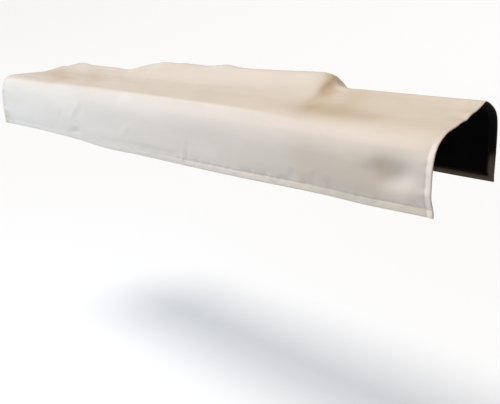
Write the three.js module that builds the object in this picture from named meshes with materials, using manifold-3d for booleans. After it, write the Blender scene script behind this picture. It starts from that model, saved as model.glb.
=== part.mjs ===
// Keyboard cover, draped as in use: one long outer cloth with a turned hem on all four sides and a slot
// along its raised ridge, and a thin black lining inside it. It is open below and at both ends.
// Millimetres. +X runs along the cover to its right end, +Y to the back and +Z up.
// The origin is at mid length and mid depth, level with the underside of the top's flat part.

import * as THREE from "three";
import { mergeVertices } from "three/addons/utils/BufferGeometryUtils.js";
import Module from "manifold-3d";

// Driving dimensions
const LENGTH = 1364;
const CLOTH_THICKNESS = 1.6;
const HEM_THICKNESS = 3;
const HEM_WIDTH = 15;
const HEM_RUNOUT = 1.5;
const LINING_THICKNESS = 1;
const GAP = 0.3;
const TOP_UNDERSIDE = 143;

// Section of the draped cloth, a row for each station from the front hem over the top to the back hem.
// Each column is [depth from mid depth, height above the front hem], for the left end, the middle and
// the right end. The left end droops at the back, and the right end at the front.
const SECTION = [
  { station: "front hem edge", left: [-148, -1], middle: [-149, 0], right: [-145, 0] },
  { station: "front hem fold", left: [-150, 15], middle: [-150.5, 15], right: [-147, 15] },
  { station: "front flap low", left: [-152, 42], middle: [-152.5, 42], right: [-154.5, 40] },
  { station: "front flap high", left: [-152, 84], middle: [-152.5, 84], right: [-158, 80] },
  { station: "shoulder start", left: [-149, 107], middle: [-149.5, 107], right: [-154, 103.5] },
  { station: "shoulder low", left: [-145, 120.5], middle: [-145, 119], right: [-149, 112.5] },
  { station: "shoulder front", left: [-140.5, 129], middle: [-140.5, 127.3], right: [-143.5, 118.5] },
  { station: "shoulder edge", left: [-134.5, 134.7], middle: [-135.5, 132.4], right: [-137, 122.7] },
  { station: "shoulder back", left: [-126, 137.6], middle: [-127, 134.8], right: [-128, 127.3] },
  { station: "top front", left: [-106, 140.8], middle: [-106, 138.3], right: [-108, 134.6] },
  { station: "top dip", left: [-62, 142.5], middle: [-62, 145.4], right: [-66, 141] },
  { station: "top rise", left: [-10, 144.5], middle: [-10, 152], right: [-10, 152.5] },
  { station: "ridge front", left: [32, 151.5], middle: [26, 163], right: [26, 162.5] },
  { station: "ridge", left: [66, 158], middle: [54, 170], right: [52, 168] },
  { station: "back shoulder", left: [102, 148], middle: [98, 148], right: [103, 147] },
  { station: "back flap high", left: [121, 116], middle: [120, 116], right: [124, 117] },
  { station: "back flap low", left: [134, 66], middle: [134, 66], right: [136, 66] },
  { station: "back hem fold", left: [143.5, 15], middle: [144, 15], right: [143.5, 15] },
  { station: "back hem edge", left: [146.5, 0], middle: [147, 0], right: [146.5, 0] },
];
const LEFT_DROOP_REACH = 210;
const RIGHT_DROOP_REACH = 570;
const stationOf = (name) => SECTION.findIndex((row) => row.station === name);
const SHOULDER_START = stationOf("shoulder start");
const TOP_FRONT = stationOf("top front");
const RIDGE = stationOf("ridge");
const HEM_FOLDS = [stationOf("front hem fold"), stationOf("back hem fold")];
const LAST = stationOf("back hem edge");

// The ridge is pushed up along the middle, a row for each point of the crest: place along the cover and
// rise above the ridge. The left end of the rise is a slow ramp and the right end is steep.
const CREST_RIGHT_FOOT = 396;
const CREST = [
  { x: -665, rise: 0 },
  { x: -620, rise: 6 },
  { x: -580, rise: 9 },
  { x: -540, rise: 5 },
  { x: -500, rise: 0.5 },
  { x: -400, rise: -1 },
  { x: -320, rise: -2 },
  { x: -285, rise: 7 },
  { x: -205, rise: 26 },
  { x: -95, rise: 23.5 },
  { x: -15, rise: 21 },
  { x: 90, rise: 22 },
  { x: 190, rise: 23.5 },
  { x: 300, rise: 26.5 },
  { x: 330, rise: 26 },
  { x: 350, rise: 21 },
  { x: 372, rise: 7.5 },
  { x: CREST_RIGHT_FOOT, rise: 0 },
  { x: 440, rise: 0 },
];
const CREST_BUMP = { x: 33, along: 38, rise: 6.5 };
const CREST_SETBACK = 16;
const CREST_SETBACK_FULL_AT = 19;
const CREST_NARROWING = 0.06;
const CREST_END = { x: 380, drift: 7, steepening: 0.9 };
const CREST_FOOT_STATIONS = [TOP_FRONT + 1.1, RIDGE + 2.2];
const BACK_HEM_RIDE_UP = { along: 330, rise: 14 };

// Soft folds of the two flaps, a row for each: place along the cover, height above the hem, reach along
// and up, and how far the cloth stands out there. A negative value is a trough.
const FOLDS = [
  { flap: "front", x: 615, height: 62, along: 44, up: 36, out: -6 },
  { flap: "front", x: 395, height: 38, along: 70, up: 40, out: -2.5 },
  { flap: "front", x: 115, height: 34, along: 70, up: 42, out: -2 },
  { flap: "front", x: -341, height: 56, along: 60, up: 45, out: 3 },
  { flap: "back", x: -430, height: 30, along: 90, up: 60, out: -6 },
  { flap: "back", x: -170, height: 30, along: 80, up: 55, out: 4 },
  { flap: "back", x: 120, height: 30, along: 100, up: 60, out: -5 },
  { flap: "back", x: 440, height: 30, along: 90, up: 55, out: 4 },
];

// The lower right corner of the front flap stands out past the side: its reach along the cover, the
// stations where it starts and ends, and how far out.
const RIGHT_CORNER = { along: 160, fromStation: 0.3, toStation: 1.9, out: 4 };

// How far the front hem sags below its left end, along the cover.
const FRONT_SAG = [
  { x: -480, drop: 0 },
  { x: -300, drop: 4 },
  { x: -190, drop: 10 },
  { x: -50, drop: 8.5 },
  { x: 110, drop: 8.7 },
  { x: 380, drop: 5.8 },
  { x: 480, drop: 4.5 },
  { x: 560, drop: 6 },
  { x: 682, drop: 4 },
];

// The slot just behind the crest, through cloth and lining, with its edge turned in all round. Across the
// cover it is given in stations: the slot, its turned edge, where that runs out, and the lining's edge.
const SLOT_LEFT = -214;
const SLOT_RIGHT = 346;
const SLOT_HEM = 8;
const SLOT_STATIONS = [RIDGE + 0.03, RIDGE + 0.355];
const SLOT_HEM_STATIONS = [RIDGE - 0.19, RIDGE + 0.575];
const SLOT_RUNOUT_STATIONS = [RIDGE - 0.23, RIDGE + 0.615];
const SLOT_CLEARANCE_STATIONS = [RIDGE - 0.25, RIDGE + 0.635];
const SLOT_END_CLEARANCE = 2;
const SLOT_CUT_REACH = 8;

// Cells of the sheets along the cover, and the stations of their lines across it, which lie closest
// together on the shoulder and the ridge.
const CELLS = { leftOfSlot: 12, slot: 22, slotAcross: 4, crestEnd: 3, right: 8 };
const FRONT_FLAP_LINES = [1.5, 2, 2.5, 3, 3.5];
const SHOULDER_LINES = [0, 1, 2, 2.5, 3, 3.5, 4].map((step) => SHOULDER_START + step);
const TOP_LINES = [0, 0.5, 1, 1.5, 2, 2.5, 3, 3.4].map((step) => TOP_FRONT + step);
const MID_SLOT_LINE = RIDGE + 0.19;
const BACK_FLAP_LINES = [1, 1.5, 2, 2.5, 3, 3.5].map((step) => RIDGE + step);
const STATION_RUNOUT = 0.075;

const HALF = LENGTH / 2;
const CREST_MIDDLE = (SLOT_LEFT + SLOT_RIGHT) / 2;

const { smoothstep } = THREE.MathUtils;

const profileOf = (end) =>
  new THREE.SplineCurve(SECTION.map((row) => new THREE.Vector2(...row[end])));
const leftProfile = profileOf("left");
const middleProfile = profileOf("middle");
const rightProfile = profileOf("right");

const curveAlong = (rows, height) =>
  new THREE.CubicInterpolant(
    rows.map((row) => row.x),
    rows.map((row) => row[height]),
    1,
  );
const crestRise = curveAlong(CREST, "rise");
const frontSag = curveAlong(FRONT_SAG, "drop");

const bell = (distance, reach) => Math.exp(-((distance / reach) ** 2));

// Share of the crest's rise that a station takes: none on the flat top, all on the ridge.
function crestShare(station) {
  const [frontFoot, backFoot] = CREST_FOOT_STATIONS;
  if (station < RIDGE) return smoothstep(station, frontFoot, RIDGE);
  return 1 - smoothstep(station, RIDGE, backFoot);
}

// Section of the cloth before the crest and the folds, as depth and height.
function sectionPoint(x, station) {
  const t = station / LAST;
  const left = 1 - smoothstep(x, -HALF, LEFT_DROOP_REACH - HALF);
  const right = smoothstep(x, HALF - RIGHT_DROOP_REACH, HALF);
  const section = middleProfile.getPoint(t).multiplyScalar(1 - left - right);
  section.addScaledVector(leftProfile.getPoint(t), left);
  return section.addScaledVector(rightProfile.getPoint(t), right);
}

// Place on the crest's curve whose rise a point takes. Towards the front, the left ramp narrows and the
// right end draws in and steepens.
function crestPlace(x, station) {
  const forward = Math.max(0, RIDGE - station);
  const fromMiddle = x - CREST_MIDDLE;
  if (fromMiddle < 0) return CREST_MIDDLE + fromMiddle * (1 + CREST_NARROWING * forward);
  const reach = CREST_END.x - CREST_MIDDLE;
  const share = fromMiddle / (reach - CREST_END.drift * forward);
  return CREST_MIDDLE + reach * share ** (1 + CREST_END.steepening * forward);
}

// Raises the ridge to the crest, which draws the back hem up a little.
function raiseCrest(point, station) {
  const rise = crestRise.evaluate(crestPlace(point.x, station))[0];
  const share = crestShare(station);
  point.y += CREST_SETBACK * smoothstep(rise, 0, CREST_SETBACK_FULL_AT) * share;
  const bump = CREST_BUMP.rise * bell(point.x - CREST_BUMP.x, CREST_BUMP.along);
  point.z += rise * share + bump * share ** 4;
  const rideUp = BACK_HEM_RIDE_UP.rise * bell(point.x - CREST_MIDDLE, BACK_HEM_RIDE_UP.along);
  point.z += rideUp * smoothstep(station, RIDGE, LAST);
}

// Pushes the flaps in and out at their soft folds, lets the front hem sag and sets its right corner out.
function foldFlaps(point, station, section) {
  for (const fold of FOLDS) {
    const outward = fold.flap === "front" ? -1 : 1;
    if (outward * section.x < 0) continue;
    const share = bell(point.x - fold.x, fold.along) * bell(section.y - fold.height, fold.up);
    point.y += outward * fold.out * share;
  }
  const sagShare = 1 - smoothstep(station, 0, TOP_FRONT);
  point.z -= frontSag.evaluate(point.x)[0] * sagShare;
  const { along, fromStation, toStation, out } = RIGHT_CORNER;
  const cornerShare = 1 - smoothstep(station, fromStation, toStation);
  point.x += out * smoothstep(point.x, HALF - along, HALF) * cornerShare;
}

// Point of the cloth's outer face at a place along the cover and a station of its section.
function clothPoint(x, station) {
  const section = sectionPoint(x, station);
  const point = new THREE.Vector3(x, section.x, section.y);
  raiseCrest(point, station);
  foldFlaps(point, station, section);
  return point;
}

// Outward direction of the cloth there, across its two tangents.
function clothNormal(x, station) {
  const stepX = 1;
  const stepStation = 0.02;
  const before = Math.max(0, station - stepStation);
  const after = Math.min(LAST, station + stepStation);
  const along = clothPoint(x + stepX, station).sub(clothPoint(x - stepX, station));
  const across = clothPoint(x, after).sub(clothPoint(x, before));
  return along.cross(across).normalize();
}

// Closed sheet between two depths below the outer face. A box with a cell for each pair of neighbouring
// lines is bent onto the drape, and its inner face takes the outer face's diagonals, so that the faces
// of two sheets on the same lines stay parallel.
function sheet(xLines, stations, outerDepth, innerDepth) {
  const columns = xLines.length - 1;
  const rows = stations.length - 1;
  const box = new THREE.BoxGeometry(columns, rows, 1, columns, rows, 1);
  const position = box.getAttribute("position");
  for (let i = 0; i < position.count; i++) {
    const x = xLines[Math.round(position.getX(i) + columns / 2)];
    const station = stations[Math.round(position.getY(i) + rows / 2)];
    const depthAt = position.getZ(i) > 0 ? outerDepth : innerDepth;
    const point = clothPoint(x, station);
    point.addScaledVector(clothNormal(x, station), -depthAt(x, station));
    position.setXYZ(i, point.x, point.y, point.z);
  }
  const [, , , , , innerFace] = box.groups;
  const corners = box.index.array;
  for (let i = innerFace.start; i < innerFace.start + innerFace.count; i += 6) {
    const [a, b, d, , c] = corners.slice(i, i + 6);
    corners.set([a, b, c, a, c, d], i);
  }
  box.deleteAttribute("normal");
  box.deleteAttribute("uv");
  return mergeVertices(box);
}

const spread = (from, to, cells) =>
  Array.from({ length: cells + 1 }, (_, i) => from + ((to - from) * i) / cells);

const wasm = await Module();
wasm.setup();

function solidOf(geometry) {
  const mesh = new wasm.Mesh({
    numProp: 3,
    vertProperties: geometry.getAttribute("position").array,
    triVerts: new Uint32Array(geometry.index.array),
  });
  return new wasm.Manifold(mesh);
}

// Sheet with an opening cut square through it.
function cutSheet(geometry, cutter) {
  const cut = solidOf(geometry).subtract(solidOf(cutter)).getMesh();
  return new THREE.BufferGeometry()
    .setAttribute("position", new THREE.BufferAttribute(cut.vertProperties, 3))
    .setIndex(new THREE.BufferAttribute(cut.triVerts, 1));
}

// Lines that the outer cloth and the lining share, between the hems.
const hemLine = HALF - HEM_WIDTH;
const runoutLine = hemLine - HEM_RUNOUT;
const slotHemEnds = [SLOT_LEFT - SLOT_HEM, SLOT_RIGHT + SLOT_HEM];
const slotRunoutEnds = [slotHemEnds[0] - HEM_RUNOUT, slotHemEnds[1] + HEM_RUNOUT];
const innerX = [
  ...spread(-runoutLine, slotRunoutEnds[0], CELLS.leftOfSlot),
  ...spread(slotHemEnds[0], slotHemEnds[1], CELLS.slot),
  ...spread(slotRunoutEnds[1], CREST_RIGHT_FOOT, CELLS.crestEnd),
  ...spread(CREST_RIGHT_FOOT, runoutLine, CELLS.right).slice(1),
];
const innerStations = [
  HEM_FOLDS[0] + STATION_RUNOUT,
  ...FRONT_FLAP_LINES,
  ...SHOULDER_LINES,
  ...TOP_LINES,
  SLOT_RUNOUT_STATIONS[0],
  SLOT_HEM_STATIONS[0],
  MID_SLOT_LINE,
  SLOT_HEM_STATIONS[1],
  SLOT_RUNOUT_STATIONS[1],
  ...BACK_FLAP_LINES,
  HEM_FOLDS[1] - STATION_RUNOUT,
];

const outside = () => 0;

// Block that follows the crest and reaches well past both faces of the cloth.
function slotCutter(fromX, toX, [fromStation, toStation]) {
  const xLines = spread(fromX, toX, CELLS.slot);
  const stations = spread(fromStation, toStation, CELLS.slotAcross);
  return sheet(xLines, stations, () => -SLOT_CUT_REACH, () => SLOT_CUT_REACH);
}

// Depth of the outer cloth's inner face: doubled where the hem or the slot's edge is turned in.
function outerClothInside(x, station) {
  const inSideHem = Math.abs(x) >= hemLine;
  const inLongHem = station <= HEM_FOLDS[0] || station >= HEM_FOLDS[1];
  const alongSlot = x >= slotHemEnds[0] && x <= slotHemEnds[1];
  const acrossSlot = station >= SLOT_HEM_STATIONS[0] && station <= SLOT_HEM_STATIONS[1];
  const turnedIn = inSideHem || inLongHem || (alongSlot && acrossSlot);
  return turnedIn ? HEM_THICKNESS : CLOTH_THICKNESS;
}

function outerCloth() {
  const xLines = [-HALF, -hemLine, ...innerX, hemLine, HALF];
  const stations = [0, HEM_FOLDS[0], ...innerStations, HEM_FOLDS[1], LAST];
  const slot = slotCutter(SLOT_LEFT, SLOT_RIGHT, SLOT_STATIONS);
  return cutSheet(sheet(xLines, stations, outside, outerClothInside), slot);
}

// The lining lies inside the hem, clear of its turned edge all round.
function lining() {
  const liningX = [...innerX];
  liningX[0] += GAP;
  liningX[liningX.length - 1] -= GAP;
  const liningStations = [...innerStations];
  liningStations[0] += STATION_RUNOUT / 2;
  liningStations[liningStations.length - 1] -= STATION_RUNOUT / 2;
  const outerDepth = CLOTH_THICKNESS + GAP;
  const clearLeft = slotRunoutEnds[0] - SLOT_END_CLEARANCE;
  const clearRight = slotRunoutEnds[1] + SLOT_END_CLEARANCE;
  const slot = slotCutter(clearLeft, clearRight, SLOT_CLEARANCE_STATIONS);
  const panel = sheet(
    liningX,
    liningStations,
    () => outerDepth,
    () => outerDepth + LINING_THICKNESS,
  );
  return cutSheet(panel, slot);
}

const creamCloth = new THREE.MeshStandardMaterial({ color: 0xe2d8c8, roughness: 0.92, metalness: 0 });
const blackCloth = new THREE.MeshStandardMaterial({ color: 0x0c0b0b, roughness: 0.95, metalness: 0 });

function piece(name, geometry, material) {
  geometry.computeVertexNormals();
  const mesh = new THREE.Mesh(geometry, material);
  mesh.name = name;
  mesh.position.z = -TOP_UNDERSIDE;
  return mesh;
}

const cover = new THREE.Group();
cover.name = "keyboard_cover";
cover.add(piece("outer_cloth", outerCloth(), creamCloth));
cover.add(piece("lining", lining(), blackCloth));

export default cover;
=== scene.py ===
import bmesh
import bpy
import numpy as np
from mathutils import Matrix, Vector


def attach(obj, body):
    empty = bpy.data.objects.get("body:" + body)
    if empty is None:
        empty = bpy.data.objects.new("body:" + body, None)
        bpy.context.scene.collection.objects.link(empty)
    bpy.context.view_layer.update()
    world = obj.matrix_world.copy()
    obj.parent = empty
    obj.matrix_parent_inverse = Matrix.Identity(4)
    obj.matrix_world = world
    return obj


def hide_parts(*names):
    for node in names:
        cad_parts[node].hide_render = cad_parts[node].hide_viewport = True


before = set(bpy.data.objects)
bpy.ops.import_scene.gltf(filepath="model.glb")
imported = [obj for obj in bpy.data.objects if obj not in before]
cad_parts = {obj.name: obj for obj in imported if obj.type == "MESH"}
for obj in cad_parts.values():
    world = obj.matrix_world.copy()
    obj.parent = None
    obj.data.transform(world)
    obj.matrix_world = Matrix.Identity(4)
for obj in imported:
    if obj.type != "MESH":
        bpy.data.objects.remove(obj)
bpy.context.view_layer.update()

# Outer cloth: one long panel of close-woven cream cotton, with a slot cut along its ridge. All edges are
# turned in once and sewn down, and the panel hangs at the front and back in its own soft folds and creases.
# The panel is laid out flat in millimetres, along it and across it from the front hem, and then draped.
MM = 0.001
LENGTH = 1364
HALF = LENGTH / 2
CLOTH_THICKNESS = 1.6
HEM_THICKNESS = 3.0
HEM_WIDTH = 15
HEM_RUNOUT = 1.5
HEM_STITCH_LINE = 14.0
SIDE_STITCH_LINE = 10.7
EDGE_ROUND = 1.4
TOP_UNDERSIDE = 143

# Section from the front hem to the back hem: depth and height at the left end, the middle and the right end.
SECTION = [
    {"station": "front hem edge", "left": (-148, -1), "middle": (-149, 0), "right": (-145, 0)},
    {"station": "front hem fold", "left": (-150, 15), "middle": (-150.5, 15), "right": (-147, 15)},
    {"station": "front flap low", "left": (-152, 42), "middle": (-152.5, 42), "right": (-154.5, 40)},
    {"station": "front flap high", "left": (-152, 84), "middle": (-152.5, 84), "right": (-158, 80)},
    {"station": "shoulder start", "left": (-149, 107), "middle": (-149.5, 107), "right": (-154, 103.5)},
    {"station": "shoulder low", "left": (-145, 120.5), "middle": (-145, 119), "right": (-149, 112.5)},
    {"station": "shoulder front", "left": (-140.5, 129), "middle": (-140.5, 127.3), "right": (-143.5, 118.5)},
    {"station": "shoulder edge", "left": (-134.5, 134.7), "middle": (-135.5, 132.4), "right": (-137, 122.7)},
    {"station": "shoulder back", "left": (-126, 137.6), "middle": (-127, 134.8), "right": (-128, 127.3)},
    {"station": "top front", "left": (-106, 140.8), "middle": (-106, 138.3), "right": (-108, 134.6)},
    {"station": "top dip", "left": (-62, 142.5), "middle": (-62, 145.4), "right": (-66, 141)},
    {"station": "top rise", "left": (-10, 144.5), "middle": (-10, 152), "right": (-10, 152.5)},
    {"station": "ridge front", "left": (32, 151.5), "middle": (26, 163), "right": (26, 162.5)},
    {"station": "ridge", "left": (66, 158), "middle": (54, 170), "right": (52, 168)},
    {"station": "back shoulder", "left": (102, 148), "middle": (98, 148), "right": (103, 147)},
    {"station": "back flap high", "left": (121, 116), "middle": (120, 116), "right": (124, 117)},
    {"station": "back flap low", "left": (134, 66), "middle": (134, 66), "right": (136, 66)},
    {"station": "back hem fold", "left": (143.5, 15), "middle": (144, 15), "right": (143.5, 15)},
    {"station": "back hem edge", "left": (146.5, 0), "middle": (147, 0), "right": (146.5, 0)},
]
LEFT_DROOP_REACH = 210
RIGHT_DROOP_REACH = 570
STATION = {row["station"]: i for i, row in enumerate(SECTION)}
TOP_FRONT = STATION["top front"]
RIDGE = STATION["ridge"]
LAST = STATION["back hem edge"]

# Rise of the ridge at places along the cover, where it is pushed up to a crest.
CREST_RISES = {
    -665: 0, -620: 6, -580: 9, -540: 5, -500: 0.5, -400: -1, -320: -2, -285: 7, -205: 26, -95: 23.5, -15: 21,
    90: 22, 190: 23.5, 300: 26.5, 330: 26, 350: 21, 372: 7.5, 396: 0, 440: 0,
}
CREST_BUMP = {"x": 33, "along": 38, "rise": 6.5, "sharpness": 4}
CREST_SETBACK = 16
CREST_SETBACK_FULL_AT = 19
CREST_NARROWING = 0.06
CREST_END = {"x": 380, "drift": 7, "steepening": 0.9}
CREST_FOOT_STATIONS = (TOP_FRONT + 1.1, RIDGE + 2.2)
BACK_HEM_RIDE_UP = {"along": 330, "rise": 14}
RIGHT_CORNER = {"along": 160, "from_station": 0.3, "to_station": 1.9, "out": 4}
FRONT_SAGS = {-480: 0, -300: 4, -190: 10, -50: 8.5, 110: 8.7, 380: 5.8, 480: 4.5, 560: 6, 682: 4}

SLOT_ENDS = (-214, 346)
SLOT_STATIONS = (RIDGE + 0.03, RIDGE + 0.355)
SLOT_HEM_WIDTH = 8
SLOT_STITCH_LINE = 6.2
CREST_MIDDLE = sum(SLOT_ENDS) / 2

# Broad folds of the flaps: place along, height above the hem, reach along and up, and how far out.
FRONT, BACK = -1, 1
FOLDS = [
    {"flap": FRONT, "x": 615, "height": 62, "along": 44, "up": 36, "out": -6},
    {"flap": FRONT, "x": 395, "height": 38, "along": 70, "up": 40, "out": -2.5},
    {"flap": FRONT, "x": 115, "height": 34, "along": 70, "up": 42, "out": -2},
    {"flap": FRONT, "x": -341, "height": 56, "along": 60, "up": 45, "out": 3},
    {"flap": BACK, "x": -430, "height": 30, "along": 90, "up": 60, "out": -6},
    {"flap": BACK, "x": -170, "height": 30, "along": 80, "up": 55, "out": 4},
    {"flap": BACK, "x": 120, "height": 30, "along": 100, "up": 60, "out": -5},
    {"flap": BACK, "x": 440, "height": 30, "along": 90, "up": 55, "out": 4},
]

# Creases on the flat panel, each from one point to another. A negative height is a trough.
CREASES = [
    # Dent at the right of the front flap
    {"start": (602, 55), "end": (630, 68), "width": 23, "height": -5.0},
    {"start": (568, 68), "end": (598, 84), "width": 15, "height": -1.6},
    # Right end of the crest and the top beside it
    {"start": (374, 340), "end": (358, 288), "width": 11, "height": -4.5},
    {"start": (394, 305), "end": (382, 312), "width": 7, "height": -2.2},
    {"start": (368, 258), "end": (362, 240), "width": 8, "height": -1.6},
    {"start": (374, 228), "end": (408, 160), "width": 24, "height": -2.4},
    {"start": (410, 305), "end": (455, 215), "width": 20, "height": 1.2},
    {"start": (548, 285), "end": (630, 285), "width": 22, "height": -1.0},
    # Waves of the right edge
    {"start": (690, 260), "end": (660, 262), "width": 11, "height": 1.6},
    {"start": (690, 238), "end": (668, 240), "width": 8, "height": -1.5},
    {"start": (690, 215), "end": (655, 217), "width": 11, "height": 1.0},
    # Front flap and its hem
    {"start": (113, 14), "end": (117, 46), "width": 5, "height": -1.2},
    {"start": (101, 16), "end": (105, 42), "width": 6, "height": 0.7},
    {"start": (-377, 40), "end": (-366, 66), "width": 6, "height": -1.0},
    {"start": (-319, 60), "end": (-287, 98), "width": 8, "height": 1.0},
    {"start": (-296, 62), "end": (-268, 90), "width": 8, "height": -0.6},
    {"start": (-112, 40), "end": (-84, 66), "width": 7, "height": 0.8},
    {"start": (-326, 19), "end": (-297, 25), "width": 7, "height": -2.4},
    {"start": (-190, 21), "end": (75, 21), "width": 6, "height": -0.7},
    {"start": (139, 14), "end": (148, 15), "width": 6, "height": -1.1},
    {"start": (288, 14), "end": (297, 14), "width": 6, "height": -1.3},
    {"start": (316, 14), "end": (330, 15), "width": 6, "height": -0.9},
    {"start": (374, 14), "end": (384, 14), "width": 6, "height": -1.2},
    {"start": (424, 15), "end": (436, 14), "width": 6, "height": -1.0},
    {"start": (404, 24), "end": (402, 33), "width": 7, "height": -1.2},
    {"start": (452, 22), "end": (455, 35), "width": 7, "height": -1.2},
    {"start": (486, 22), "end": (488, 30), "width": 7, "height": -0.8},
    {"start": (-660, 40), "end": (-636, 16), "width": 9, "height": 1.0},
    {"start": (-600, 97), "end": (-565, 97), "width": 14, "height": -0.6},
    # Edge of the shoulder, and the left end of the crest
    {"start": (-420, 151), "end": (330, 136), "width": 9, "height": 1.4},
    {"start": (-218, 320), "end": (-150, 320), "width": 26, "height": -5.0},
    # Left end of the top
    {"start": (-640, 308), "end": (-602, 308), "width": 18, "height": 1.6},
    {"start": (-655, 298), "end": (-520, 284), "width": 10, "height": -1.2},
    {"start": (-650, 222), "end": (-500, 208), "width": 10, "height": -1.3},
    {"start": (-620, 262), "end": (-470, 240), "width": 9, "height": 0.8},
    {"start": (-640, 180), "end": (-490, 168), "width": 11, "height": -0.8},
    {"start": (-575, 240), "end": (-400, 204), "width": 14, "height": -1.2},
    # Middle of the top
    {"start": (-60, 243), "end": (300, 243), "width": 12, "height": 0.7},
    {"start": (135, 236), "end": (190, 205), "width": 9, "height": 0.5},
    {"start": (-30, 290), "end": (80, 215), "width": 11, "height": 0.6},
    {"start": (-190, 225), "end": (-110, 180), "width": 11, "height": 0.6},
    {"start": (230, 225), "end": (300, 175), "width": 12, "height": 0.6},
    {"start": (-330, 270), "end": (-200, 200), "width": 13, "height": 0.7},
]


def smoothstep(value, low, high):
    t = np.clip((value - low) / (high - low), 0, 1)
    return t * t * (3 - 2 * t)


def bell(distance, reach):
    return np.exp(-((distance / reach) ** 2))


def smooth_curve(places, values):
    """Cubic through the points, whose slope at each is the mean of the straight stretches beside it."""
    places = np.asarray(places, float)
    values = np.asarray(values, float).reshape(len(places), -1)
    secants = np.diff(values, axis=0) / np.diff(places)[:, None]
    still = np.zeros_like(secants[:1])
    slopes = (np.concatenate([still, secants]) + np.concatenate([secants, still])) / 2

    def at(place):
        place = np.clip(place, places[0], places[-1])
        i = np.clip(np.searchsorted(places, place, side="right") - 1, 0, len(places) - 2)
        step = (places[i + 1] - places[i])[:, None]
        p = (place - places[i])[:, None] / step
        q = 1 - p
        ends = values[i] * (1 + 2 * p) * q * q + values[i + 1] * (1 + 2 * q) * p * p
        return ends + step * p * q * (slopes[i] * q - slopes[i + 1] * p)

    return at


profiles = {
    end: smooth_curve(range(len(SECTION)), [row[end] for row in SECTION])
    for end in ("left", "middle", "right")
}
crest_rise = smooth_curve(list(CREST_RISES), list(CREST_RISES.values()))
front_sag = smooth_curve(list(FRONT_SAGS), list(FRONT_SAGS.values()))

# Distance across the flat panel at each station, measured along the middle section.
SECTION_SAMPLES = 3001
fine_stations = np.linspace(0, LAST, SECTION_SAMPLES)
fine_section = profiles["middle"](fine_stations)
fine_across = np.append(0, np.cumsum(np.linalg.norm(np.diff(fine_section, axis=0), axis=1)))
PANEL_WIDTH = fine_across[-1]


def across_at(station):
    return np.interp(station, fine_stations, fine_across)


def draped_section(x, station):
    left = 1 - smoothstep(x, -HALF, LEFT_DROOP_REACH - HALF)
    right = smoothstep(x, HALF - RIGHT_DROOP_REACH, HALF)
    share = {"left": left, "middle": 1 - left - right, "right": right}
    return sum(profiles[end](station) * share[end][:, None] for end in profiles)


def folded_cloth(x, across):
    """Points of the hanging cloth for places on the flat panel: section, crest and broad folds."""
    station = np.interp(across, fine_across, fine_stations)
    section = draped_section(x, station)
    depth, height = section[:, 0].copy(), section[:, 1].copy()
    forward = np.maximum(0, RIDGE - station)
    left = np.minimum(x - CREST_MIDDLE, 0) * (1 + CREST_NARROWING * forward)
    right_reach = CREST_END["x"] - CREST_MIDDLE
    right_share = np.maximum(x - CREST_MIDDLE, 0) / (right_reach - CREST_END["drift"] * forward)
    right = right_reach * right_share ** (1 + CREST_END["steepening"] * forward)
    rise = crest_rise(CREST_MIDDLE + left + right)[:, 0]
    front_share = smoothstep(station, CREST_FOOT_STATIONS[0], RIDGE)
    back_share = 1 - smoothstep(station, RIDGE, CREST_FOOT_STATIONS[1])
    share = np.minimum(front_share, back_share)
    depth += CREST_SETBACK * smoothstep(rise, 0, CREST_SETBACK_FULL_AT) * share
    bump = CREST_BUMP["rise"] * bell(x - CREST_BUMP["x"], CREST_BUMP["along"])
    height += rise * share + bump * share ** CREST_BUMP["sharpness"]
    ride_up = BACK_HEM_RIDE_UP["rise"] * bell(x - CREST_MIDDLE, BACK_HEM_RIDE_UP["along"])
    height += ride_up * smoothstep(station, RIDGE, LAST)
    for fold in FOLDS:
        on_flap = fold["flap"] * section[:, 0] >= 0
        reach = bell(x - fold["x"], fold["along"]) * bell(section[:, 1] - fold["height"], fold["up"])
        depth += np.where(on_flap, fold["flap"] * fold["out"] * reach, 0)
    height -= front_sag(x)[:, 0] * (1 - smoothstep(station, 0, TOP_FRONT))
    in_corner = 1 - smoothstep(station, RIGHT_CORNER["from_station"], RIGHT_CORNER["to_station"])
    to_right = RIGHT_CORNER["out"] * smoothstep(x, HALF - RIGHT_CORNER["along"], HALF) * in_corner
    return np.stack([x + to_right, depth, height], axis=1)


def outward(surface, x, across):
    """Unit directions straight out of a surface, for places on the flat panel."""
    step = 1.0
    along_edge = surface(x + step, across) - surface(x - step, across)
    low, high = np.maximum(across - step, 0), np.minimum(across + step, PANEL_WIDTH)
    across_edge = surface(x, high) - surface(x, low)
    normal = np.cross(along_edge, across_edge)
    return normal / np.linalg.norm(normal, axis=1)[:, None]


def soft_strokes(rows, amount, x, across):
    """Sum of soft strokes on the flat panel, each from its start to its end and fading over its width."""
    total = np.zeros_like(x)
    for row in rows:
        start, end = np.array(row["start"], float), np.array(row["end"], float)
        run = end - start
        length = np.linalg.norm(run)
        offset = np.stack([x, across], axis=1) - start
        t = offset @ run / length
        beside = (offset[:, 0] * run[1] - offset[:, 1] * run[0]) / length
        past = np.maximum(np.maximum(-t, t - length), 0)
        total += row[amount] * bell(beside, row["width"]) * bell(past, row["width"])
    return total


def creased_cloth(x, across):
    points = folded_cloth(x, across)
    return points + outward(folded_cloth, x, across) * soft_strokes(CREASES, "height", x, across)[:, None]


def drape(panel):
    """Metres in the row frame for points given as along, across and height above the flat panel."""
    x, across, height = panel.T
    points = creased_cloth(x, across) + outward(creased_cloth, x, across) * height[:, None]
    points[:, 2] -= TOP_UNDERSIDE
    return points * MM


SLOT_FRONT, SLOT_BACK = across_at(SLOT_STATIONS[0]), across_at(SLOT_STATIONS[1])


def slot_distance(x, across):
    """Distance from the slot's edge, which is negative in the slot."""
    beside = np.maximum(SLOT_ENDS[0] - x, x - SLOT_ENDS[1])
    before = np.maximum(SLOT_FRONT - across, across - SLOT_BACK)
    return np.maximum(beside, before)


def edge_distances(x, across):
    return HALF - np.abs(x), np.minimum(across, PANEL_WIDTH - across)


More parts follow.
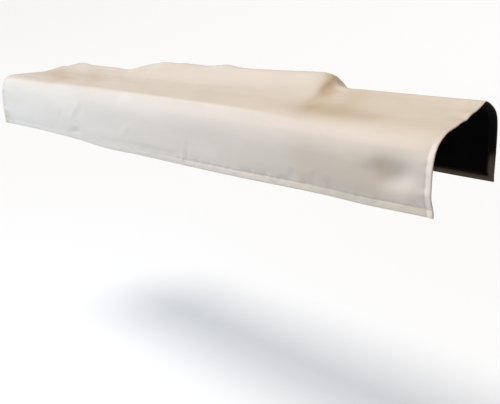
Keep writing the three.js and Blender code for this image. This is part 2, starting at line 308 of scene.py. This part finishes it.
HEM_FLARE = 1.1
HEM_FLARE_SHARES = {
    -682: 0.4, -560: 0.4, -430: 0.35, -285: 0.15, -180: 0.25, -40: 0.35, 60: 0.5, 130: 0.8, 190: 1.1,
    300: 1.6, 450: 1.3, 682: 1.1,
}
SIDE_FLARE_SHARE = 1.7
SLOT_FLARE_SHARE = 0.3
STITCH_PULL = 0.8
STITCH_PULL_REACH = 1.5
PUCKER = 0.45
PUCKER_LENGTHS = (19, 31, 53)
TOP_HEM_FADE = (100, 150)
BACK_HEM_RETURN = (370, 420)
TOP_HEM_FLATTENING = 0.85
hem_flare = smooth_curve(list(HEM_FLARE_SHARES), list(HEM_FLARE_SHARES.values()))


def seam_relief(distance, stitch_line, place, flare):
    """Height of the cloth beside a row of stitches: the hem flares out, and the row is drawn down."""
    inside = np.clip(distance / stitch_line, 0, 1)
    rise = HEM_FLARE * flare * (1 - inside**2)
    pull = STITCH_PULL * np.minimum(flare, 1) * bell(distance - stitch_line, STITCH_PULL_REACH)
    waves = sum(np.sin(2 * np.pi * place / length + length) for length in PUCKER_LENGTHS)
    pucker = PUCKER * np.minimum(flare, 1) * waves * bell(distance - stitch_line, HEM_WIDTH / 2)
    return rise - pull + pucker


def rounded_edge(distance):
    """How far a face curves in at the panel's edge."""
    inside = np.clip(EDGE_ROUND - distance, 0, EDGE_ROUND)
    return EDGE_ROUND - np.sqrt(EDGE_ROUND**2 - inside**2)


def outer_face(x, across):
    side, long_edge = edge_distances(x, across)
    slot = slot_distance(x, across)
    on_top = smoothstep(across, *TOP_HEM_FADE) * (1 - smoothstep(across, *BACK_HEM_RETURN))
    height = seam_relief(side, SIDE_STITCH_LINE, across, SIDE_FLARE_SHARE) * (1 - TOP_HEM_FLATTENING * on_top)
    height += seam_relief(long_edge, HEM_STITCH_LINE, x, hem_flare(x)[:, 0])
    height += seam_relief(slot, SLOT_STITCH_LINE, x, SLOT_FLARE_SHARE)
    nearest = np.minimum(np.minimum(side, long_edge), slot)
    return height - rounded_edge(nearest)


def inner_face(x, across):
    side, long_edge = edge_distances(x, across)
    slot = slot_distance(x, across)
    past_hem = np.minimum(np.minimum(side, long_edge) - HEM_WIDTH, slot - SLOT_HEM_WIDTH)
    turned_in = 1 - smoothstep(past_hem, 0, HEM_RUNOUT)
    depth = CLOTH_THICKNESS + (HEM_THICKNESS - CLOTH_THICKNESS) * turned_in
    nearest = np.minimum(np.minimum(side, long_edge), slot)
    return rounded_edge(nearest) - depth


def spread(start, end, cell):
    return np.linspace(start, end, int(np.ceil((end - start) / cell)) + 1)


HEM_LINES = np.array([0, 0.4, 1.4, 4, 7.5, 9.2, 10.7, 12.3, 14, 15, 16.5, 19])
SLOT_LINES = np.array([0, 0.4, 1.2, 3.5, 5, 6.2, 7.4, 8, 9.5, 12])
CELL_ALONG, CELL_ACROSS = 5, 4


def panel_lines(low, high, slot_low, slot_high, cell):
    left = slot_low - SLOT_LINES[::-1]
    right = slot_high + SLOT_LINES
    hem_left, hem_right = low + HEM_LINES, high - HEM_LINES[::-1]
    stretches = [hem_left, spread(hem_left[-1], left[0], cell), left, spread(slot_low, slot_high, cell)]
    stretches += [right, spread(right[-1], hem_right[0], cell), hem_right]
    return np.unique(np.concatenate(stretches).round(4))


x_lines = panel_lines(-HALF, HALF, *SLOT_ENDS, CELL_ALONG)
across_lines = panel_lines(0, PANEL_WIDTH, SLOT_FRONT, SLOT_BACK, CELL_ACROSS)


def cut_panel(lines_along, lines_across, clear_of_slot):
    """Flat panel with the slot cut out, as a shell one unit thick with its outer face at height 0."""
    columns, rows = len(lines_along) - 1, len(lines_across) - 1
    bm = bmesh.new()
    bmesh.ops.create_grid(bm, x_segments=columns, y_segments=rows, size=1)
    for vert in bm.verts:
        vert.co.x = lines_along[round((vert.co.x + 1) / 2 * columns)]
        vert.co.y = lines_across[round((vert.co.y + 1) / 2 * rows)]
    middles = np.array([face.calc_center_median()[:2] for face in bm.faces])
    in_slot = slot_distance(middles[:, 0], middles[:, 1]) < clear_of_slot
    cut_out = [face for face, cut in zip(bm.faces[:], in_slot) if cut]
    bmesh.ops.delete(bm, geom=cut_out, context="FACES")
    bmesh.ops.solidify(bm, geom=bm.faces[:], thickness=1)
    mesh = bpy.data.meshes.new("panel")
    bm.to_mesh(mesh)
    bm.free()
    return mesh


def coordinates(mesh):
    flat = np.empty(len(mesh.vertices) * 3, np.float32)
    mesh.vertices.foreach_get("co", flat)
    return flat.reshape(-1, 3).astype(float)


SHARP_ANGLE = np.radians(60)


def place_on_drape(mesh, panel):
    """Moves a flat mesh onto the drape and keeps its flat place, in metres, as the UV map."""
    corner_verts = np.empty(len(mesh.loops), np.int32)
    mesh.loops.foreach_get("vertex_index", corner_verts)
    uv = mesh.uv_layers.new(name="flat_panel")
    uv.data.foreach_set("uv", (panel[corner_verts, :2] * MM).astype(np.float32).ravel())
    mesh.vertices.foreach_set("co", drape(panel).astype(np.float32).ravel())
    mesh.update()
    mesh.polygons.foreach_set("use_smooth", np.ones(len(mesh.polygons), bool))
    mesh.set_sharp_from_angle(angle=SHARP_ANGLE)


def add_piece(name, mesh, material):
    mesh.name = name
    mesh.materials.append(material)
    piece = bpy.data.objects.new(name, mesh)
    bpy.context.scene.collection.objects.link(piece)
    return piece


def new_material(name):
    material = bpy.data.materials.new(name)
    material.use_nodes = True
    tree = material.node_tree
    return material, tree, tree.nodes["Principled BSDF"]


def add_node(tree, kind, values=(), **settings):
    """Node with its settings, and a value or a link for each named or numbered input."""
    node = tree.nodes.new(kind)
    for name, setting in settings.items():
        setattr(node, name, setting)
    for name, value in dict(values).items():
        if isinstance(value, bpy.types.NodeSocket):
            tree.links.new(value, node.inputs[name])
        else:
            node.inputs[name].default_value = value
    return node


# Cream of the outside, with a paler copy for painted highlights and a darker, warmer copy for painted shade.
CREAM_PAINTED_HIGHLIGHT = (0.62, 0.56, 0.495, 1)
CREAM = (0.50, 0.447, 0.384, 1)
CREAM_PAINTED_SHADE = (0.40, 0.32, 0.225, 1)
# The inner side of the cloth is cream painted in shade, and part of its hem is painted in deeper shade.
CREAM_INSIDE_PAINTED_SHADE = (0.075, 0.058, 0.038, 1)
CREAM_INSIDE_DEEP_PAINTED_SHADE = (0.004, 0.003, 0.002, 1)
UNPAINTED_LEVEL = 0.5
RIGHT_HEM_HIGHLIGHT_FADE = 1.6
MOTTLE_SCALE = 18
MOTTLE_STRETCH = (0.35, 1, 1)
MOTTLE_LOW, MOTTLE_HIGH = 0.3, 0.7
MOTTLE_DARK, MOTTLE_LIGHT = 0.965, 1.035
THREAD_PITCH = 0.0009
WAVE_PERIOD = 0.314
WEAVE_DEPTH = 0.0002
WEAVE_STRENGTH = 0.3

# Soft patches of the outside: painted shade, darker and warmer, where the share is positive, and painted
# highlights, paler, where the share is negative. Inside, painted shade darkens part of the turned hem.
PAINTED_SHADE_AND_HIGHLIGHT_PATCHES = [
    {"start": (352, 320), "end": (362, 292), "width": 20, "share": 1.0},
    {"start": (372, 262), "end": (385, 215), "width": 22, "share": 0.5},
    {"start": (400, 198), "end": (520, 186), "width": 34, "share": 0.45},
    {"start": (430, 290), "end": (440, 180), "width": 45, "share": 0.3},
    {"start": (-622, 279), "end": (-452, 185), "width": 38, "share": 0.55},
    {"start": (-432, 279), "end": (-322, 204), "width": 34, "share": 0.35},
    {"start": (440, 52), "end": (560, 58), "width": 36, "share": 0.3},
    {"start": (590, 80), "end": (610, 72), "width": 18, "share": 0.5},
    {"start": (-110, 126), "end": (640, 128), "width": 24, "share": -0.3},
    {"start": (-60, 300), "end": (290, 300), "width": 28, "share": -0.2},
    {"start": (632, 50), "end": (640, 58), "width": 20, "share": -0.35},
    {"start": (-678, 6), "end": (-660, 26), "width": 15, "share": 0.45},
]
# Painted shade on the inner side of the turned hem, along its edges and up the right end.
INSIDE_PAINTED_SHADE_PATCHES = [
    {"start": (676, 300), "end": (676, 472), "width": 16, "share": 1.0},
    {"start": (667, 15), "end": (667, 523), "width": 3.5, "share": 1.0},
    {"start": (-667, 15), "end": (-667, 523), "width": 3.5, "share": 1.0},
    {"start": (-667, 14), "end": (667, 14), "width": 5, "share": 1.0},
    {"start": (-667, 525), "end": (667, 525), "width": 5, "share": 1.0},
]


def weave(tree, shader, flat_place):
    """Relief of a plain weave, whose warp and weft threads pass over each other by turns."""
    scale = WAVE_PERIOD / THREAD_PITCH
    warp = add_node(tree, "ShaderNodeTexWave", {"Vector": flat_place, "Scale": scale}, bands_direction="X")
    weft = add_node(tree, "ShaderNodeTexWave", {"Vector": flat_place, "Scale": scale}, bands_direction="Y")
    threads = {0: warp.outputs["Fac"], 1: weft.outputs["Fac"]}
    height = add_node(tree, "ShaderNodeMath", threads, operation="MULTIPLY").outputs[0]
    relief = {"Height": height, "Strength": WEAVE_STRENGTH, "Distance": WEAVE_DEPTH}
    bump = add_node(tree, "ShaderNodeBump", relief)
    tree.links.new(bump.outputs["Normal"], shader.inputs["Normal"])


def cream_cotton():
    material, tree, shader = new_material("cream_cotton")
    flat_place = add_node(tree, "ShaderNodeUVMap", uv_map="flat_panel").outputs["UV"]
    inner_side = add_node(tree, "ShaderNodeAttribute", attribute_name="inner_side")
    # Painted light: this attribute turns the cream paler for painted highlights and darker for painted shade.
    painted_light = add_node(tree, "ShaderNodeAttribute", attribute_name="painted_light").outputs["Fac"]
    outside = add_node(tree, "ShaderNodeValToRGB", {"Fac": painted_light})
    outside.color_ramp.elements[0].color = CREAM_PAINTED_HIGHLIGHT
    outside.color_ramp.elements[1].color = CREAM_PAINTED_SHADE
    outside.color_ramp.elements.new(UNPAINTED_LEVEL).color = CREAM
    # Inside colours: painted shade, deeper where the attribute rises.
    inside = add_node(tree, "ShaderNodeValToRGB", {"Fac": painted_light})
    inside.color_ramp.elements[0].color = CREAM_INSIDE_PAINTED_SHADE
    inside.color_ramp.elements[0].position = UNPAINTED_LEVEL
    inside.color_ramp.elements[1].color = CREAM_INSIDE_DEEP_PAINTED_SHADE
    tone = add_node(
        tree,
        "ShaderNodeMix",
        {"Factor": inner_side.outputs["Fac"], "A": outside.outputs["Color"], "B": inside.outputs["Color"]},
        data_type="RGBA",
    )
    streaks = add_node(tree, "ShaderNodeMapping", {"Vector": flat_place, "Scale": MOTTLE_STRETCH})
    mottle = add_node(
        tree,
        "ShaderNodeTexNoise",
        {"Vector": streaks.outputs["Vector"], "Scale": MOTTLE_SCALE, "Detail": 4},
    )
    shade = add_node(
        tree,
        "ShaderNodeMapRange",
        {
            "Value": mottle.outputs["Fac"],
            "From Min": MOTTLE_LOW,
            "From Max": MOTTLE_HIGH,
            "To Min": MOTTLE_DARK,
            "To Max": MOTTLE_LIGHT,
        },
    )
    colour = add_node(
        tree,
        "ShaderNodeMix",
        {"Factor": 1.0, "A": tone.outputs["Result"], "B": shade.outputs["Result"]},
        data_type="RGBA",
        blend_type="MULTIPLY",
    )
    tree.links.new(colour.outputs["Result"], shader.inputs["Base Color"])
    weave(tree, shader, flat_place)
    shader.inputs["Roughness"].default_value = 0.9
    shader.inputs["Specular IOR Level"].default_value = 0.06
    return material


mesh = cut_panel(x_lines, across_lines, 0)
panel = coordinates(mesh)
is_outer = panel[:, 2] > panel[:, 2].mean()
x, across = panel[:, 0], panel[:, 1]
panel[:, 2] = np.where(is_outer, outer_face(x, across), inner_face(x, across))
place_on_drape(mesh, panel)
# The inner side takes the painted shade of the inside colours.
inner_side = mesh.attributes.new("inner_side", "FLOAT", "POINT")
inner_side.data.foreach_set("value", 1 - is_outer.astype(np.float32))

# The hem band of the right end on the front flap is made paler there: a painted highlight.
right_hem_painted_highlight = 1 - smoothstep(HALF - x, SIDE_STITCH_LINE, SIDE_STITCH_LINE + RIGHT_HEM_HIGHLIGHT_FADE)
right_hem_painted_highlight *= 1 - smoothstep(across, *TOP_HEM_FADE)
# Painted shade and highlights on the outside, together with the right hem's painted highlight.
outside_painted_light = soft_strokes(PAINTED_SHADE_AND_HIGHLIGHT_PATCHES, "share", x, across) - right_hem_painted_highlight
# Painted shade on the inside of the turned hem.
inside_painted_shade = soft_strokes(INSIDE_PAINTED_SHADE_PATCHES, "share", x, across)
# One attribute carries the painted light: shade and highlights outside, shade inside.
painted_light = mesh.attributes.new("painted_light", "FLOAT", "POINT")
painted_light_share = UNPAINTED_LEVEL * (1 + np.clip(np.where(is_outer, outside_painted_light, inside_painted_shade), -1, 1))
painted_light.data.foreach_set("value", painted_light_share.astype(np.float32))
outer_cloth = add_piece("outer_cloth_sheet", mesh, cream_cotton())
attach(outer_cloth, "root")
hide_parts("outer_cloth")

# Lining: one thin panel of matt black cotton inside the outer cloth. It ends against the turned hem all
# round, which is sewn down over its edge, and it is cut clear of the slot's turned edge.
LINING_GAP = 0.3
LINING_THICKNESS = 1.0
LINING_SLOT_CLEARANCE = 4
LINING_EDGE_CELL = 1
LINING_BLACK = (0.0008, 0.0008, 0.0008, 1)
LINING_FLUFF = (0.0030, 0.0028, 0.0026, 1)
FLUFF_SCALE = 60
hem_edge = HEM_WIDTH + HEM_RUNOUT + LINING_GAP


def black_cotton():
    material, tree, shader = new_material("black_cotton")
    flat_place = add_node(tree, "ShaderNodeUVMap", uv_map="flat_panel").outputs["UV"]
    fluff = add_node(tree, "ShaderNodeTexNoise", {"Vector": flat_place, "Scale": FLUFF_SCALE, "Detail": 5})
    colour = add_node(
        tree,
        "ShaderNodeMix",
        {"Factor": fluff.outputs["Fac"], "A": LINING_BLACK, "B": LINING_FLUFF},
        data_type="RGBA",
    )
    tree.links.new(colour.outputs["Result"], shader.inputs["Base Color"])
    weave(tree, shader, flat_place)
    shader.inputs["Roughness"].default_value = 1.0
    shader.inputs["Specular IOR Level"].default_value = 0.02
    return material


def lines_between(lines, start, end):
    kept = lines[(lines > start + LINING_EDGE_CELL) & (lines < end - LINING_EDGE_CELL)]
    return np.concatenate([[start], kept, [end]])


inner_x = lines_between(x_lines, hem_edge - HALF, HALF - hem_edge)
inner_across = lines_between(across_lines, hem_edge, PANEL_WIDTH - hem_edge)
mesh = cut_panel(inner_x, inner_across, SLOT_HEM_WIDTH + LINING_SLOT_CLEARANCE)
panel = coordinates(mesh)
is_outer = panel[:, 2] > panel[:, 2].mean()
lining_top = CLOTH_THICKNESS + LINING_GAP
panel[:, 2] = np.where(is_outer, -lining_top, -lining_top - LINING_THICKNESS)
place_on_drape(mesh, panel)
lining = add_piece("lining_sheet", mesh, black_cotton())
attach(lining, "root")
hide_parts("lining")

# Topstitching: rows of cream thread through the turned hems and round the slot, one stitch after another.
# Each stitch dips into the cloth at its ends and stands a little proud between them.
STITCH_LENGTH = 3.3
STITCH_STEP = 4.2
THREAD_RADIUS = 0.32
THREAD_PROUD = 0.192
STITCH_DIP = 0.55
STITCH_SIDES = 6
STITCH_RINGS = 4
CREAM_THREAD = (0.55, 0.485, 0.405, 1)
CREAM_THREAD_SHADED = (0.48, 0.42, 0.35, 1)
PLY_SCALE = 900


def one_stitch():
    """Mesh of one stitch that runs along the cover, its ends dipping."""
    bm = bmesh.new()
    turn = Matrix.Rotation(np.pi / 2, 4, "Y")
    bmesh.ops.create_cone(
        bm, cap_ends=True, segments=STITCH_SIDES, radius1=THREAD_RADIUS, radius2=THREAD_RADIUS,
        depth=STITCH_LENGTH, matrix=turn,
    )
    long_edges = [edge for edge in bm.edges if edge.calc_length() > STITCH_LENGTH / 2]
    bmesh.ops.subdivide_edges(bm, edges=long_edges, cuts=STITCH_RINGS - 1)
    for vert in bm.verts:
        reach = vert.co.x / (STITCH_LENGTH / 2)
        vert.co.z -= STITCH_DIP * reach**4
    mesh = bpy.data.meshes.new("stitch")
    bm.to_mesh(mesh)
    bm.free()
    return mesh


def row_of_places(start, end):
    count = int((end - start) / STITCH_STEP)
    return start + (end - start) * (np.arange(count) + 0.5) / count


def stitch_rows():
    """Middle of each stitch on the panel, and whether its row runs along the cover."""
    rows = []
    along = row_of_places(-HALF, HALF)
    for across_row in (HEM_STITCH_LINE, PANEL_WIDTH - HEM_STITCH_LINE):
        rows += [(place, across_row, True) for place in along]
    for x_row in (SIDE_STITCH_LINE - HALF, HALF - SIDE_STITCH_LINE):
        rows += [(x_row, place, False) for place in row_of_places(0, PANEL_WIDTH)]
    slot_x = (SLOT_ENDS[0] - SLOT_STITCH_LINE, SLOT_ENDS[1] + SLOT_STITCH_LINE)
    slot_across = (SLOT_FRONT - SLOT_STITCH_LINE, SLOT_BACK + SLOT_STITCH_LINE)
    for across_row in slot_across:
        rows += [(place, across_row, True) for place in row_of_places(*slot_x)]
    for x_row in slot_x:
        rows += [(x_row, place, False) for place in row_of_places(*slot_across)]
    return rows


def cream_thread():
    material, tree, shader = new_material("cream_thread")
    place = add_node(tree, "ShaderNodeTexCoord").outputs["Object"]
    ply = add_node(tree, "ShaderNodeTexNoise", {"Vector": place, "Scale": PLY_SCALE, "Detail": 2})
    colour = add_node(
        tree,
        "ShaderNodeMix",
        {"Factor": ply.outputs["Fac"], "A": CREAM_THREAD_SHADED, "B": CREAM_THREAD},
        data_type="RGBA",
    )
    tree.links.new(colour.outputs["Result"], shader.inputs["Base Color"])
    shader.inputs["Roughness"].default_value = 0.7
    shader.inputs["Sheen Weight"].default_value = 0.2
    return material


stitch = one_stitch()
bm = bmesh.new()
for x_middle, across_middle, runs_along in stitch_rows():
    sewn_before = len(bm.verts)
    bm.from_mesh(stitch)
    place = Matrix.Translation((x_middle, across_middle, 0))
    turn = Matrix.Rotation(0 if runs_along else np.pi / 2, 4, "Z")
    bmesh.ops.transform(bm, matrix=place @ turn, verts=bm.verts[sewn_before:])
bpy.data.meshes.remove(stitch)
mesh = bpy.data.meshes.new("topstitching")
bm.to_mesh(mesh)
bm.free()
panel = coordinates(mesh)
panel[:, 2] += outer_face(panel[:, 0], panel[:, 1]) + THREAD_PROUD
place_on_drape(mesh, panel)
topstitching = add_piece("topstitching", mesh, cream_thread())
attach(topstitching, "root")

# Floor: a plain pale studio floor, well below the hanging hems, that sweeps up far away all round. It glows
# evenly, so that it stays white and the shadow on it is soft.
FLOOR_DROP = 0.80
FLOOR_REACH = 24
FLOOR_CELLS = 60
SWEEP_START, SWEEP_END, SWEEP_RISE = 8, 20, 5.5
FLOOR_PAINT = (0.305, 0.32, 0.341, 1)
FLOOR_GLOW = (0.56, 0.56, 0.56, 1)
bm = bmesh.new()
bmesh.ops.create_grid(bm, x_segments=FLOOR_CELLS, y_segments=FLOOR_CELLS, size=FLOOR_REACH)
for vert in bm.verts:
    vert.co.z = SWEEP_RISE * smoothstep(vert.co.length, SWEEP_START, SWEEP_END) - FLOOR_DROP
mesh = bpy.data.meshes.new("floor")
bm.to_mesh(mesh)
bm.free()
mesh.polygons.foreach_set("use_smooth", np.ones(len(mesh.polygons), bool))
floor_white, tree, shader = new_material("floor_white")
shader.inputs["Base Color"].default_value = FLOOR_PAINT
shader.inputs["Roughness"].default_value = 0.95
shader.inputs["Specular IOR Level"].default_value = 0.1
shader.inputs["Emission Color"].default_value = FLOOR_GLOW
shader.inputs["Emission Strength"].default_value = 1.0
floor = add_piece("floor", mesh, floor_white)

# Light: a large soft lamp high up, a little in front and to the left, two weak cool softboxes in front to
# the left, and a dim surround that fills the shadows.
SURROUND_STRENGTH = 0.06
HIGH_LAMP_SPREAD = np.radians(25)
SOFTBOX_SIZE = 0.9
WARM_LIGHT = (1.0, 0.91, 0.81)
BLUE_LIGHT = (0.30, 0.55, 1.0)
COOL_LIGHT = (0.66, 0.88, 1.0)
world = bpy.data.worlds.new("surround")
world.use_nodes = True
surround = world.node_tree.nodes["Background"]
surround.inputs["Color"].default_value = (1, 1, 1, 1)
surround.inputs["Strength"].default_value = SURROUND_STRENGTH
bpy.context.scene.world = world


def add_lamp(name, kind, colour, power, place, aim):
    light = bpy.data.lights.new(name, kind)
    light.energy = power
    light.color = colour
    lamp = bpy.data.objects.new(name, light)
    lamp.location = place
    lamp.rotation_mode = "QUATERNION"
    lamp.rotation_quaternion = (Vector(aim) - Vector(place)).to_track_quat("-Z", "Y")
    bpy.context.scene.collection.objects.link(lamp)
    return light


high_lamp = add_lamp("high_lamp", "SUN", WARM_LIGHT, power=4.1, place=(-0.20, -0.35, 1.0), aim=(0, 0, 0))
high_lamp.angle = HIGH_LAMP_SPREAD
front_softbox = add_lamp(
    "front_softbox", "AREA", BLUE_LIGHT, power=11.6, place=(-0.65, -1.3, 0.45), aim=(-0.4, 0, 0)
)
front_softbox.size = SOFTBOX_SIZE
left_softbox = add_lamp(
    "left_softbox", "AREA", COOL_LIGHT, power=6.6, place=(-0.9, -1.3, 0), aim=(-0.45, 0, 0)
)
left_softbox.size = SOFTBOX_SIZE

# Camera: in front of the cover's right end and a little above its top, looking down along it to the left, as
# the photograph was taken.
CAMERA_PLACE = (1.0493, -1.0296, 0.1543)
CAMERA_TURN = np.radians(40.443)
CAMERA_DOWN = np.radians(16.886)
CAMERA_ROLL = np.radians(0.584)
PHOTO_WIDTH = 500
FOCAL_PIXELS = 590.0
SENSOR_WIDTH = 36
lens = bpy.data.cameras.new("camera")
lens.sensor_width = SENSOR_WIDTH
lens.lens = FOCAL_PIXELS / PHOTO_WIDTH * SENSOR_WIDTH
lens.clip_start = 0.02
camera = bpy.data.objects.new("camera", lens)
turn = Matrix.Rotation(CAMERA_TURN, 4, "Z")
tilt = Matrix.Rotation(np.pi / 2 - CAMERA_DOWN, 4, "X")
roll = Matrix.Rotation(CAMERA_ROLL, 4, "Z")
camera.matrix_world = Matrix.Translation(CAMERA_PLACE) @ turn @ tilt @ roll
bpy.context.scene.collection.objects.link(camera)
bpy.context.scene.camera = camera
bpy.context.scene.view_settings.view_transform = "Standard"
